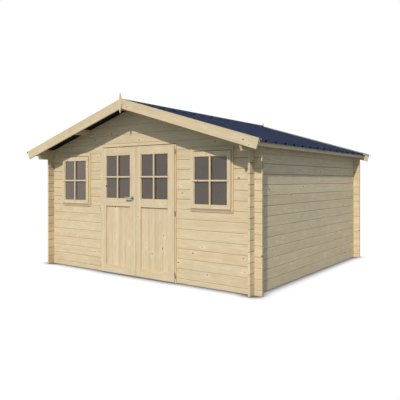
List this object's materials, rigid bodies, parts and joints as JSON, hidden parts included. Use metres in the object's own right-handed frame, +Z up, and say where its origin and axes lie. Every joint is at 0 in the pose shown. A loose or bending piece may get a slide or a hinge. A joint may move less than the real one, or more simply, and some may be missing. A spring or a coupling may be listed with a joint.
{
  "type": "garden shed",
  "caption": "Gable-roofed garden shed of interlocking pale spruce logs with a glazed double door, small-paned windows, diamond finials on the barge boards and a dark ribbed steel roof.",
  "frame": {"origin": "on the ground, under the centre of the overall box", "axes": "+X to the right seen from the front gable, +Y from the front gable to the back one, +Z up"},
  "size_m": [4.304, 4.0106, 2.5379],
  "materials": {
    "spruce_log": "planed, untreated",
    "spruce_board": "planed, untreated",
    "spruce_joinery": "planed, untreated",
    "coated_roof_steel": "satin coil coating",
    "clear_glass": "clear float glass",
    "zinc_hinge": "bronze passivated zinc",
    "satin_alloy": "satin"
  },
  "bodies": {
    "shed": {"front_wall_left": "spruce_log", "front_wall_right": "spruce_log", "front_gable": "spruce_log", "back_wall": "spruce_log", "back_gable": "spruce_log", "left_wall": "spruce_log", "right_wall": "spruce_log", "left_wall_plate": "spruce_log", "right_wall_plate": "spruce_log", "ridge_purlin": "spruce_board", "left_purlin": "spruce_board", "right_purlin": "spruce_board", "left_eave_board": "spruce_board", "right_eave_board": "spruce_board", "front_left_barge_board": "spruce_board", "front_right_barge_board": "spruce_board", "back_left_barge_board": "spruce_board", "back_right_barge_board": "spruce_board", "front_finial": "spruce_board", "back_finial": "spruce_board", "left_roof_sheet": "coated_roof_steel", "right_roof_sheet": "coated_roof_steel", "ridge_cap": "coated_roof_steel", "front_verge_trim": "coated_roof_steel", "back_verge_trim": "coated_roof_steel", "door_left_jamb": "spruce_joinery", "door_right_jamb": "spruce_joinery", "door_head": "spruce_joinery", "door_threshold": "spruce_joinery", "left_window_casing": "spruce_joinery", "left_window_sill": "spruce_joinery", "left_window_sash": "spruce_joinery", "right_window_casing": "spruce_joinery", "right_window_sill": "spruce_joinery", "right_window_sash": "spruce_joinery", "left_window_glass": "clear_glass", "right_window_glass": "clear_glass", "door_hinge_pins": "zinc_hinge"},
    "left_door": {"left_door_frame": "spruce_joinery", "left_door_panel": "spruce_joinery", "left_door_glass": "clear_glass", "left_hinge_leaves": "zinc_hinge", "handle_roses": "satin_alloy"},
    "right_door": {"right_door_frame": "spruce_joinery", "right_door_panel": "spruce_joinery", "right_door_glass": "clear_glass", "right_hinge_leaves": "zinc_hinge"},
    "handle": {"lever_handle": "satin_alloy"}
  },
  "joints": [
    {"name": "left_door_hinge", "type": "hinge", "parent": "shed", "child": "left_door", "pos_m": [-0.7138, -1.6968, 0.9], "axis": [0, 0, -1], "range_deg": [0, 110]},
    {"name": "right_door_hinge", "type": "hinge", "parent": "shed", "child": "right_door", "pos_m": [0.7138, -1.6968, 0.9], "axis": [0, 0, 1], "range_deg": [0, 110]},
    {"name": "handle_turn", "type": "hinge", "parent": "left_door", "child": "handle", "pos_m": [-0.04625, -1.687, 1.102], "axis": [0, -1, 0], "range_deg": [0, 45], "stiffness_Nm_per_rad": 2, "springref_deg": -22.92}
  ]
}
